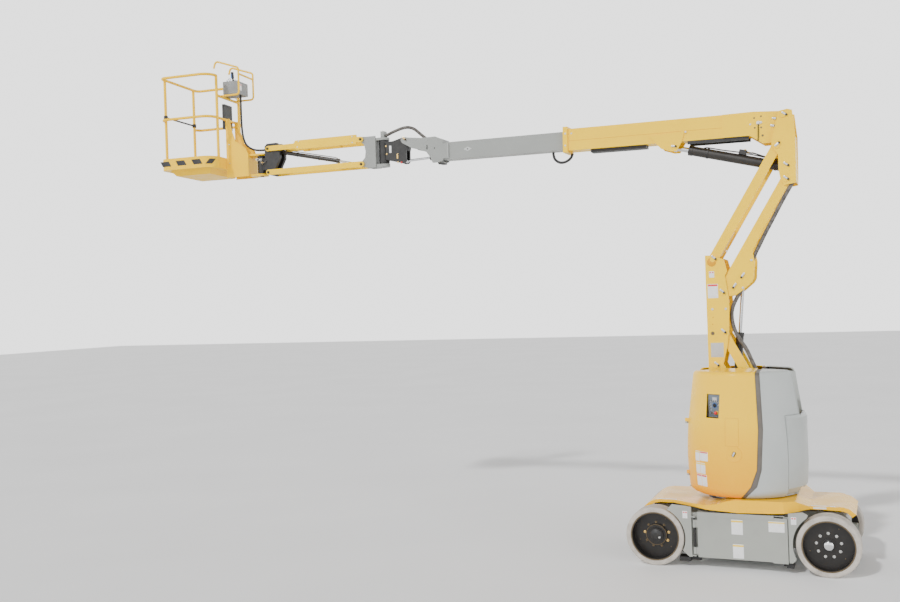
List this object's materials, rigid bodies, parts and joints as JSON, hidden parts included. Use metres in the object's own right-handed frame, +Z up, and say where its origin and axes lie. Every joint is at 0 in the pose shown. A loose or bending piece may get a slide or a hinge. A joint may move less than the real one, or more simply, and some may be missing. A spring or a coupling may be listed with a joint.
{
  "type": "articulating boom lift",
  "caption": "Self-propelled electric articulating boom lift with a slewing turret, two folding parallelogram arms, telescopic boom, jib and work cage.",
  "frame": {"origin": "centre of the bounding box on the floor, under the tyres", "axes": "+Z up, -X the way the boom points at rest, +Y the right-hand side of the machine seen from behind the counterweight looking along the boom"},
  "size_m": [8.171, 1.212, 5.921],
  "materials": {
    "tyre": "moulded",
    "rim": "satin",
    "chassis": "satin",
    "dark_steel": "satin",
    "battery": "moulded",
    "black_plastic": "moulded",
    "hood": "gloss",
    "grey": "satin",
    "cast": "painted",
    "seal": "matte",
    "hose": "matte",
    "cable": "matte",
    "controls": "moulded",
    "boom_paint": "gloss",
    "inner_paint": "satin",
    "chrome_rod": "polished",
    "cage": "painted",
    "gate": "satin"
  },
  "bodies": {
    "chassis": {"chassis_frame": "chassis", "slew_ring": "dark_steel", "batteries": "battery", "pothole_guards": "black_plastic", "hinge_rods": "dark_steel", "deck_cover": "hood"},
    "wheel_drive_left": {"rim_drive_left": "rim", "tyre_drive_left": "tyre"},
    "wheel_drive_right": {"rim_drive_right": "rim", "tyre_drive_right": "tyre"},
    "wheel_steer_left": {"rim_steer_left": "rim", "tyre_steer_left": "tyre"},
    "wheel_steer_right": {"rim_steer_right": "rim", "tyre_steer_right": "tyre"},
    "knuckle_left": {"knuckle_left": "chassis"},
    "knuckle_right": {"knuckle_right": "chassis"},
    "tie_rod": {"tie_rod": "dark_steel"},
    "side_door_left": {"side_door_left": "chassis"},
    "side_door_right": {"side_door_right": "chassis"},
    "turret": {"turret_frame": "grey", "counterweight": "cast", "rear_cover_left": "grey", "rear_cover_right": "grey", "seam_bands": "seal", "ground_controls": "controls", "arm_hoses": "hose"},
    "front_cover_left": {"front_cover_left": "hood"},
    "front_cover_right": {"front_cover_right": "hood"},
    "lower_link_high": {"lower_link_high": "boom_paint"},
    "lower_link_low": {"lower_link_low": "boom_paint"},
    "mast": {"mast": "boom_paint"},
    "upper_link_rear": {"upper_link_rear": "boom_paint"},
    "upper_link_front": {"upper_link_front": "boom_paint"},
    "column": {"column": "boom_paint"},
    "arm_cylinder_barrel": {"arm_cylinder_barrel": "dark_steel"},
    "arm_cylinder_rod": {"arm_cylinder_rod": "chrome_rod"},
    "outer_boom": {"outer_boom": "boom_paint", "hose_tray": "black_plastic"},
    "inner_boom": {"inner_boom": "inner_paint", "gooseneck": "inner_paint", "tip_hose": "hose"},
    "boom_cylinder_barrel": {"boom_cylinder_barrel": "dark_steel"},
    "boom_cylinder_rod": {"boom_cylinder_rod": "chrome_rod"},
    "knuckle_bracket": {"knuckle_bracket": "dark_steel"},
    "jib_head": {"jib_head": "grey"},
    "jib_upper_link": {"jib_upper_link": "boom_paint"},
    "jib_lower_link": {"jib_lower_link": "boom_paint"},
    "jib_block": {"jib_block": "dark_steel"},
    "jib_cylinder_barrel": {"jib_cylinder_barrel": "dark_steel"},
    "jib_cylinder_rod": {"jib_cylinder_rod": "chrome_rod"},
    "levelling_cylinder_barrel": {"levelling_cylinder_barrel": "dark_steel"},
    "levelling_cylinder_rod": {"levelling_cylinder_rod": "chrome_rod"},
    "cage": {"cage_floor": "cage", "cage_rails": "cage", "cage_support": "boom_paint", "control_box": "controls", "control_guard": "cage", "document_box": "black_plastic", "cage_cable": "cable"},
    "gate_bar": {"gate_bar": "gate"}
  },
  "joints": [
    {"name": "wheel_drive_left_spin", "type": "hinge", "parent": "chassis", "child": "wheel_drive_left", "pos_m": [2.14102, -0.505, 0.2945], "axis": [0, 1, 0], "continuous": true},
    {"name": "wheel_drive_right_spin", "type": "hinge", "parent": "chassis", "child": "wheel_drive_right", "pos_m": [2.14102, 0.505, 0.2945], "axis": [0, 1, 0], "continuous": true},
    {"name": "steer_left", "type": "hinge", "parent": "chassis", "child": "knuckle_left", "pos_m": [3.79102, -0.385, 0.2945], "axis": [0, 0, 1], "range_deg": [-35, 35]},
    {"name": "steer_right", "type": "hinge", "parent": "chassis", "child": "knuckle_right", "pos_m": [3.79102, 0.385, 0.2945], "axis": [0, 0, 1], "range_deg": [-35.5, 35.5]},
    {"name": "tie_rod_slide", "type": "slide", "parent": "chassis", "child": "tie_rod", "axis": [0, 1, 0], "range_m": [-0.0682, 0.0682]},
    {"name": "wheel_steer_left_spin", "type": "hinge", "parent": "knuckle_left", "child": "wheel_steer_left", "pos_m": [3.79102, -0.505, 0.2945], "axis": [0, 1, 0], "continuous": true},
    {"name": "wheel_steer_right_spin", "type": "hinge", "parent": "knuckle_right", "child": "wheel_steer_right", "pos_m": [3.79102, 0.505, 0.2945], "axis": [0, 1, 0], "continuous": true},
    {"name": "side_door_left_hinge", "type": "hinge", "parent": "chassis", "child": "side_door_left", "pos_m": [2.54102, -0.59, 0.3], "axis": [0, 0, -1], "range_deg": [0, 110]},
    {"name": "side_door_right_hinge", "type": "hinge", "parent": "chassis", "child": "side_door_right", "pos_m": [2.54102, 0.59, 0.3], "axis": [0, 0, 1], "range_deg": [0, 110]},
    {"name": "slew", "type": "hinge", "parent": "chassis", "child": "turret", "pos_m": [2.96603, 0, 0.6], "axis": [0, 0, 1], "range_deg": [-172.5, 172.5]},
    {"name": "front_cover_left_hinge", "type": "hinge", "parent": "turret", "child": "front_cover_left", "pos_m": [2.42603, -0.2, 1.3], "axis": [0, 0, -1], "range_deg": [0, 70]},
    {"name": "front_cover_right_hinge", "type": "hinge", "parent": "turret", "child": "front_cover_right", "pos_m": [2.42603, 0.2, 1.3], "axis": [0, 0, 1], "range_deg": [0, 70]},
    {"name": "arm_lift", "type": "hinge", "parent": "turret", "child": "lower_link_high", "pos_m": [3.41991, 0, 1.18655], "axis": [0, 1, 0], "range_deg": [-58, 3], "deforming": ["arm_hoses"]},
    {"name": "lower_link_low_hinge", "type": "hinge", "parent": "turret", "child": "lower_link_low", "pos_m": [3.33991, 0, 0.84755], "axis": [0, 1, 0], "range_deg": [-58.5, 3.5]},
    {"name": "mast_level", "type": "hinge", "parent": "lower_link_high", "child": "mast", "pos_m": [2.82103, 0, 2.337], "axis": [0, 1, 0], "range_deg": [-3.5, 58.5]},
    {"name": "upper_link_rear_hinge", "type": "hinge", "parent": "mast", "child": "upper_link_rear", "pos_m": [2.82203, 0, 2.746], "axis": [0, 1, 0], "range_deg": [-3.34, 55.34]},
    {"name": "upper_link_front_hinge", "type": "hinge", "parent": "mast", "child": "upper_link_front", "pos_m": [2.74803, 0, 3.09], "axis": [0, 1, 0], "range_deg": [-3.34, 55.34]},
    {"name": "column_level", "type": "hinge", "parent": "upper_link_rear", "child": "column", "pos_m": [3.48809, 0, 3.85891], "axis": [0, 1, 0], "range_deg": [-55.34, 3.34]},
    {"name": "arm_cylinder_swing", "type": "hinge", "parent": "lower_link_low", "child": "arm_cylinder_barrel", "pos_m": [2.91902, 0, 1.7], "axis": [0, 1, 0], "range_deg": [-3.15, 51.71]},
    {"name": "arm_cylinder_stroke", "type": "slide", "parent": "arm_cylinder_barrel", "child": "arm_cylinder_rod", "axis": [0.0886, 0, 0.9961], "range_m": [-0.53092, 0.02936]},
    {"name": "boom_lift", "type": "hinge", "parent": "column", "child": "outer_boom", "pos_m": [3.48402, 0, 4.504], "axis": [0, 1, 0], "range_deg": [-1, 68]},
    {"name": "boom_cylinder_swing", "type": "hinge", "parent": "column", "child": "boom_cylinder_barrel", "pos_m": [3.48502, 0, 3.995], "axis": [0, 1, 0], "range_deg": [-1.27, 52.7]},
    {"name": "boom_cylinder_stroke", "type": "slide", "parent": "boom_cylinder_barrel", "child": "boom_cylinder_rod", "axis": [-0.9647, 0, 0.2632], "range_m": [-0.00833, 0.4327]},
    {"name": "boom_extend", "type": "slide", "parent": "outer_boom", "child": "inner_boom", "axis": [-0.9998, 0, 0.0175], "range_m": [-1.3, 0]},
    {"name": "bracket_level", "type": "hinge", "parent": "inner_boom", "child": "knuckle_bracket", "pos_m": [-0.78597, 0, 4.687], "axis": [0, 1, 0], "range_deg": [-68.5, 1.5], "deforming": ["tip_hose"]},
    {"name": "levelling_cylinder_swing", "type": "hinge", "parent": "inner_boom", "child": "levelling_cylinder_barrel", "pos_m": [0.01603, 0, 4.472], "axis": [0, 1, 0], "range_deg": [-0.68, 12.4]},
    {"name": "levelling_cylinder_stroke", "type": "slide", "parent": "levelling_cylinder_barrel", "child": "levelling_cylinder_rod", "axis": [-0.9996, 0, -0.028], "range_m": [-0.22572, 0.00529]},
    {"name": "jib_swing", "type": "hinge", "parent": "knuckle_bracket", "child": "jib_head", "pos_m": [-1.09397, 0, 4.58], "axis": [0, 0, 1], "range_deg": [-70, 70], "deforming": ["tip_hose"]},
    {"name": "jib_lift", "type": "hinge", "parent": "jib_head", "child": "jib_upper_link", "pos_m": [-1.36197, 0, 4.75], "axis": [0, 1, 0], "range_deg": [-70, 70]},
    {"name": "jib_lower_link_hinge", "type": "hinge", "parent": "jib_head", "child": "jib_lower_link", "pos_m": [-1.36098, 0, 4.451], "axis": [0, 1, 0], "range_deg": [-70.5, 70.5]},
    {"name": "jib_block_level", "type": "hinge", "parent": "jib_upper_link", "child": "jib_block", "pos_m": [-2.69497, 0, 4.765], "axis": [0, 1, 0], "range_deg": [-70.5, 70.5]},
    {"name": "jib_cylinder_swing", "type": "hinge", "parent": "jib_block", "child": "jib_cylinder_barrel", "pos_m": [-2.60898, 0, 4.732], "axis": [0, 1, 0], "range_deg": [-73.3, 73.3]},
    {"name": "jib_cylinder_stroke", "type": "slide", "parent": "jib_cylinder_barrel", "child": "jib_cylinder_rod", "axis": [0.9756, 0, -0.2197], "range_m": [-0.25123, 0.25123]},
    {"name": "cage_rotate", "type": "hinge", "parent": "jib_block", "child": "cage", "pos_m": [-2.85398, 0, 4.58], "axis": [0, 0, 1], "range_deg": [-86, 74], "deforming": ["cage_cable"]},
    {"name": "gate_bar_slide", "type": "slide", "parent": "cage", "child": "gate_bar", "axis": [0, 0, 1], "range_m": [0, 0.4]}
  ],
  "couplings": [
    {"joint": "steer_right", "follows": "steer_left", "ratio": 1},
    {"joint": "tie_rod_slide", "follows": "steer_left", "m_per_rad": -0.11},
    {"joint": "lower_link_low_hinge", "follows": "arm_lift", "ratio": 1},
    {"joint": "mast_level", "follows": "arm_lift", "ratio": -1},
    {"joint": "upper_link_rear_hinge", "follows": "arm_lift", "ratio": -0.9456},
    {"joint": "upper_link_front_hinge", "follows": "arm_lift", "ratio": -0.9456},
    {"joint": "column_level", "follows": "arm_lift", "ratio": 0.9456},
    {"joint": "arm_cylinder_swing", "follows": "arm_lift", "ratio": -0.883},
    {"joint": "arm_cylinder_stroke", "follows": "arm_lift", "m_per_rad": 0.5225},
    {"joint": "boom_cylinder_swing", "follows": "boom_lift", "ratio": 0.7677},
    {"joint": "boom_cylinder_stroke", "follows": "boom_lift", "m_per_rad": 0.3629},
    {"joint": "bracket_level", "follows": "boom_lift", "ratio": -1},
    {"joint": "levelling_cylinder_swing", "follows": "boom_lift", "ratio": 0.175},
    {"joint": "levelling_cylinder_stroke", "follows": "boom_lift", "m_per_rad": -0.1885},
    {"joint": "jib_lower_link_hinge", "follows": "jib_lift", "ratio": 1},
    {"joint": "jib_block_level", "follows": "jib_lift", "ratio": -1},
    {"joint": "jib_cylinder_swing", "follows": "jib_lift", "ratio": 1.04},
    {"joint": "jib_cylinder_stroke", "follows": "jib_lift", "m_per_rad": 0.204}
  ]
}
